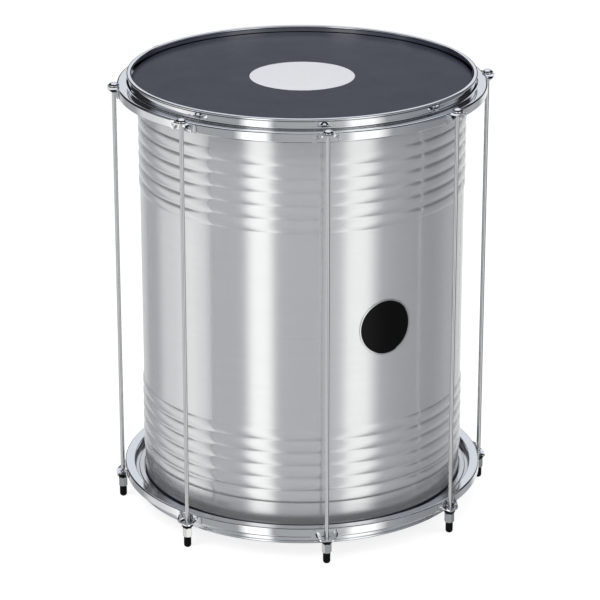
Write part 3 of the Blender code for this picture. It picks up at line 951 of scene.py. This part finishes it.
def direction(azimuth, elevation):
    """A unit vector from angles in degrees."""
    turn, climb = radians(azimuth), radians(elevation)
    return (sin(turn) * cos(climb), -cos(turn) * cos(climb), sin(climb))


def by_height(tree, height, start, end):
    """0 to 1 as the direction climbs between two elevations in degrees."""
    node = add_node(tree, 'ShaderNodeMapRange', {
        "Value": height, "From Min": sin(radians(start)), "From Max": sin(radians(end))})
    return node.outputs["Result"]


def nearness(tree, coords, azimuth, elevation):
    """The cosine of the angle to one direction."""
    node = add_node(tree, 'ShaderNodeVectorMath', {0: coords, 1: direction(azimuth, elevation)},
                    operation='DOT_PRODUCT')
    return node.outputs["Value"]


def levels_round(tree, share, levels):
    """A colour by azimuth from (angle, level) steps."""
    ramp = add_node(tree, 'ShaderNodeValToRGB', {"Fac": share})
    stops = ramp.color_ramp.elements
    while len(stops) < len(levels):
        stops.new(0.5)
    for stop, (angle, level) in zip(stops, levels):
        stop.position = (angle + 180) / 360
        stop.color = panel_colour(level)
    return ramp.outputs["Color"]


def blend(tree, factor, below, above, mode='MIX'):
    """Mixes two colours, each a socket or a plain value."""
    node = add_node(tree, 'ShaderNodeMix', {"Factor": factor}, data_type='RGBA', blend_type=mode)
    for name, value in (("A", below), ("B", above)):
        if isinstance(value, bpy.types.NodeSocket):
            tree.links.new(value, node.inputs[name])
        else:
            node.inputs[name].default_value = (*value, 1)
    return node.outputs["Result"]


def studio_world():
    """White behind the drum for the camera, and rings of light and dim panels for everything else."""
    world = bpy.data.worlds.new("studio")
    bpy.context.scene.world = world
    world.use_nodes = True
    tree = world.node_tree
    tree.nodes.clear()
    coords = add_node(tree, 'ShaderNodeTexCoord').outputs["Generated"]
    parts = add_node(tree, 'ShaderNodeSeparateXYZ', {"Vector": coords})
    height = parts.outputs["Z"]
    forwards = add_node(tree, 'ShaderNodeMath', {0: parts.outputs["Y"], 1: -1.0}, operation='MULTIPLY')
    turn = add_node(tree, 'ShaderNodeMath', {0: parts.outputs["X"], 1: forwards.outputs[0]},
                    operation='ARCTAN2')
    share = add_node(tree, 'ShaderNodeMapRange', {
        "Value": turn.outputs[0], "From Min": -pi, "From Max": pi}).outputs["Result"]
    wall_top = add_node(tree, 'ShaderNodeMapRange', {
        "Value": nearness(tree, coords, CAMERA_SIDE, 0), "From Min": 0.1, "From Max": 0.6,
        "To Min": sin(radians(WALL_TOP_BACK)), "To Max": sin(radians(WALL_TOP_FRONT))})
    over_wall = add_node(tree, 'ShaderNodeMath', {0: height, 1: wall_top.outputs["Result"]},
                         operation='SUBTRACT')
    dark = (CEILING_LEVEL,) * 3
    walls = blend(tree, by_height(tree, over_wall.outputs[0], 0, 5),
                  levels_round(tree, share, PANORAMA), dark)
    ring = blend(tree, 1.0, levels_round(tree, share, UPPER_RING), UPPER_TINT, 'MULTIPLY')
    ring = blend(tree, by_height(tree, height, UPPER_RING_START, UPPER_RING_START + 3), dark, ring)
    ring = blend(tree, by_height(tree, height, UPPER_RING_END, UPPER_RING_END + 4), ring, dark)
    room = blend(tree, 1.0, walls, ring, 'LIGHTEN')
    overhead = add_node(tree, 'ShaderNodeMapRange', {
        "Value": nearness(tree, coords, OVERHEAD_AZIMUTH, OVERHEAD_ELEVATION),
        "From Min": cos(radians(OVERHEAD_HALF_ANGLE + 2)), "From Max": cos(radians(OVERHEAD_HALF_ANGLE - 2))})
    room = blend(tree, overhead.outputs["Result"], room, tuple(OVERHEAD_LEVEL * part for part in UPPER_TINT))
    room = blend(tree, by_height(tree, height, -58, -64), room, (GROUND_LEVEL,) * 3)
    path = add_node(tree, 'ShaderNodeLightPath')
    panels = add_node(tree, 'ShaderNodeBackground', {"Color": room, "Strength": 1.0})
    white = add_node(tree, 'ShaderNodeBackground', {"Color": (1, 1, 1, 1), "Strength": 1.0})
    final = add_node(tree, 'ShaderNodeMixShader', {
        0: path.outputs["Is Camera Ray"], 1: panels.outputs[0], 2: white.outputs[0]})
    add_node(tree, 'ShaderNodeOutputWorld', {"Surface": final.outputs[0]})


def pale_floor():
    """A pale floor that the camera sees as white, apart from the drum's soft shadow."""
    start_clean()
    bpy.ops.mesh.primitive_plane_add(size=30, location=(0, 0, 0))
    floor = bpy.context.object
    floor.name = "studio_floor"
    material, tree, shader = new_material("painted_floor", Base_Color=(0.8, 0.8, 0.8, 1), Roughness=0.9)
    path = add_node(tree, 'ShaderNodeLightPath')
    glow = add_node(tree, 'ShaderNodeEmission', {"Color": (1, 1, 1, 1), "Strength": 0.84})
    paint = add_node(tree, 'ShaderNodeBsdfDiffuse', {"Color": (0.34, 0.34, 0.34, 1)})
    bright = add_node(tree, 'ShaderNodeAddShader', {0: glow.outputs[0], 1: paint.outputs[0]})
    # Far from the drum the floor fades into the white behind it
    coords = add_node(tree, 'ShaderNodeTexCoord')
    reach = add_node(tree, 'ShaderNodeVectorMath', {0: coords.outputs["Object"]}, operation='LENGTH')
    share = add_node(tree, 'ShaderNodeMapRange', {
        "Value": reach.outputs["Value"], "From Min": 1.5, "From Max": 4.0})
    clear = add_node(tree, 'ShaderNodeBsdfTransparent')
    seen = add_node(tree, 'ShaderNodeMixShader', {
        0: share.outputs["Result"], 1: bright.outputs[0], 2: clear.outputs[0]})
    mix = add_node(tree, 'ShaderNodeMixShader', {
        0: path.outputs["Is Camera Ray"], 1: shader.outputs[0], 2: seen.outputs[0]})
    tree.links.new(mix.outputs[0], tree.nodes["Material Output"].inputs["Surface"])
    floor.data.materials.append(material)
    floor.visible_glossy = False


def softbox(name, azimuth, elevation, distance, size, power):
    """A square area lamp aimed at the middle of the drum."""
    lamp = bpy.data.lights.new(name, 'AREA')
    lamp.shape = 'SQUARE'
    lamp.size = size
    lamp.energy = power
    holder = bpy.data.objects.new(name, lamp)
    bpy.context.scene.collection.objects.link(holder)
    away = Vector((sin(azimuth) * cos(elevation), -cos(azimuth) * cos(elevation), sin(elevation)))
    middle = Vector((0, 0, TOP_RIM / 2))
    holder.location = middle + away * distance
    holder.rotation_euler = away.to_track_quat('Z', 'Y').to_euler()
    holder.visible_glossy = False
    holder.visible_camera = False


class SURDO_OT_stage(bpy.types.Operator):
    """Set the floor, the studio light and the camera"""
    bl_idname = "surdo.stage"
    bl_label = "Stage"

    def execute(self, context):
        studio_world()
        pale_floor()
        softbox("key_softbox", radians(-75), radians(48), 2.6, 1.6, 38)
        softbox("fill_softbox", radians(40), radians(40), 2.8, 1.8, 24)
        softbox("top_softbox", radians(-30), radians(84), 2.8, 1.4, 22)
        settings = context.scene.surdo_studio
        azimuth = settings.camera_azimuth
        elevation = settings.camera_elevation
        away = Vector((sin(azimuth) * cos(elevation), -cos(azimuth) * cos(elevation), sin(elevation)))
        right = Vector((cos(azimuth), sin(azimuth), 0))
        lens = bpy.data.cameras.new("photo_camera")
        lens.lens = settings.lens
        lens.sensor_width = 36
        lens.clip_end = 100
        camera = bpy.data.objects.new("photo_camera", lens)
        context.scene.collection.objects.link(camera)
        target = Vector((0, 0, settings.aim_height)) + right * settings.aim_side
        camera.location = target + away * settings.camera_distance
        camera.rotation_euler = away.to_track_quat('Z', 'Y').to_euler()
        context.scene.camera = camera
        context.scene.view_settings.view_transform = 'Standard'
        return {'FINISHED'}


BUILD_ORDER = (
    "shell", "badge", "heads", "flesh_hoops", "counterhoops", "rods", "claws", "washers", "nuts", "feet", "stage")


class SURDO_PT_panel(bpy.types.Panel):
    """Lists the steps that build the drum"""
    bl_idname = "SURDO_PT_panel"
    bl_label = "Surdo"
    bl_space_type = 'VIEW_3D'
    bl_region_type = 'UI'
    bl_category = "Surdo"

    def draw(self, context):
        for step in BUILD_ORDER:
            self.layout.operator(f"surdo.{step}")
        for group in SETTINGS:
            block = getattr(context.scene, group)
            for item in block.bl_rna.properties:
                if item.identifier not in {"rna_type", "name"}:
                    self.layout.prop(block, item.identifier)


SETTINGS = {
    "surdo_shell": ShellSettings,
    "surdo_head": HeadSettings,
    "surdo_hoop": HoopSettings,
    "surdo_hardware": HardwareSettings,
    "surdo_badge": BadgeSettings,
    "surdo_studio": StudioSettings,
}
CLASSES = (
    *SETTINGS.values(), SURDO_OT_shell, SURDO_OT_badge, SURDO_OT_heads, SURDO_OT_flesh_hoops,
    SURDO_OT_counterhoops, SURDO_OT_rods, SURDO_OT_claws, SURDO_OT_washers, SURDO_OT_nuts, SURDO_OT_feet,
    SURDO_OT_stage, SURDO_PT_panel)


def register():
    for item in CLASSES:
        bpy.utils.register_class(item)
    for name, group in SETTINGS.items():
        setattr(bpy.types.Scene, name, PointerProperty(type=group))


def unregister():
    for name in SETTINGS:
        delattr(bpy.types.Scene, name)
    for item in reversed(CLASSES):
        bpy.utils.unregister_class(item)


def main():
    register()
    for step in BUILD_ORDER:
        getattr(bpy.ops.surdo, step)()


if __name__ == "__main__":
    main()
